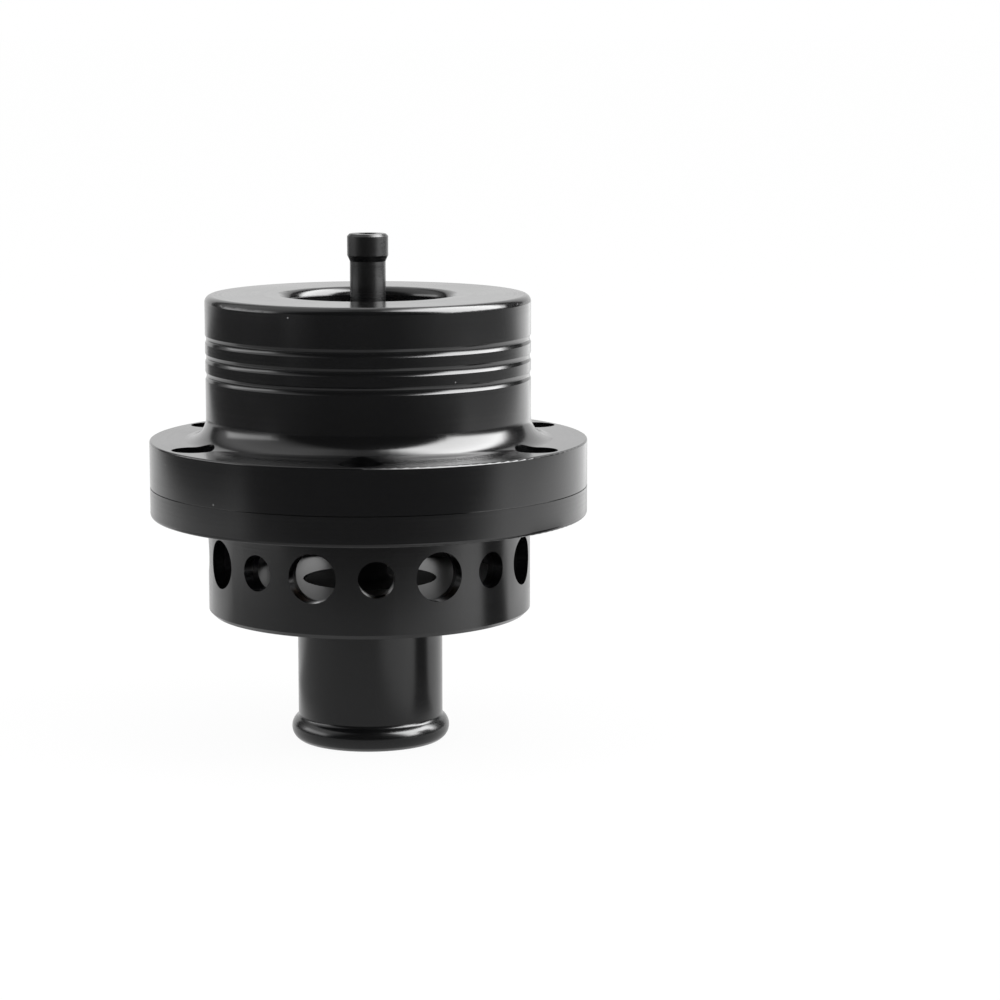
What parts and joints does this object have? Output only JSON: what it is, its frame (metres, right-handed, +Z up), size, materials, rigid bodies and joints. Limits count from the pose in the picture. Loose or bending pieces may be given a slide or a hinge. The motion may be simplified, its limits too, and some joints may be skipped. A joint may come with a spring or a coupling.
{
  "type": "blow off valve",
  "caption": "Round flanged diaphragm valve with a grooved cap, a vacuum nipple on top, a ring of vent holes and a beaded hose spigot; vents charge air when the throttle shuts.",
  "frame": {"origin": "on the valve's axis, at the end of the hose spigot that it stands on", "axes": "+Z up along the axis, from the hose spigot to the vacuum nipple; the front of the picture is towards -Y, on one of the flange screws"},
  "size_m": [0.075, 0.075, 0.0873],
  "materials": {
    "housing": "black anodised, turned, satin gloss",
    "nipple": "black anodised, turned",
    "poppet": "black anodised, turned",
    "plain_aluminium": "turned, uncoated",
    "bright_steel": "zinc plated",
    "black_steel": "black oxide",
    "bronze": "sintered bronze",
    "copper": "annealed copper",
    "rubber": "matt moulded rubber"
  },
  "bodies": {
    "housing": {"upper_housing": "housing", "lower_body": "housing", "inlet_spigot": "housing", "flange_screws": "black_steel", "vacuum_nipple": "nipple", "nipple_washer": "copper", "diaphragm": "rubber", "guide_plate": "plain_aluminium", "guide_bush": "bronze", "guide_circlip": "bright_steel", "spring": "bright_steel", "spring_shim": "bright_steel"},
    "valve": {"valve_poppet": "poppet", "poppet_seal": "rubber", "lower_plate": "plain_aluminium", "upper_plate": "plain_aluminium", "stem_washer": "bright_steel", "stem_nut": "bright_steel"}
  },
  "joints": [
    {"name": "valve_lift", "type": "slide", "parent": "housing", "child": "valve", "axis": [0, 0, 1], "range_m": [0, 0.0063], "stiffness_N_per_m": 2340, "springref_m": -0.008, "deforming": ["spring", "diaphragm"]}
  ]
}
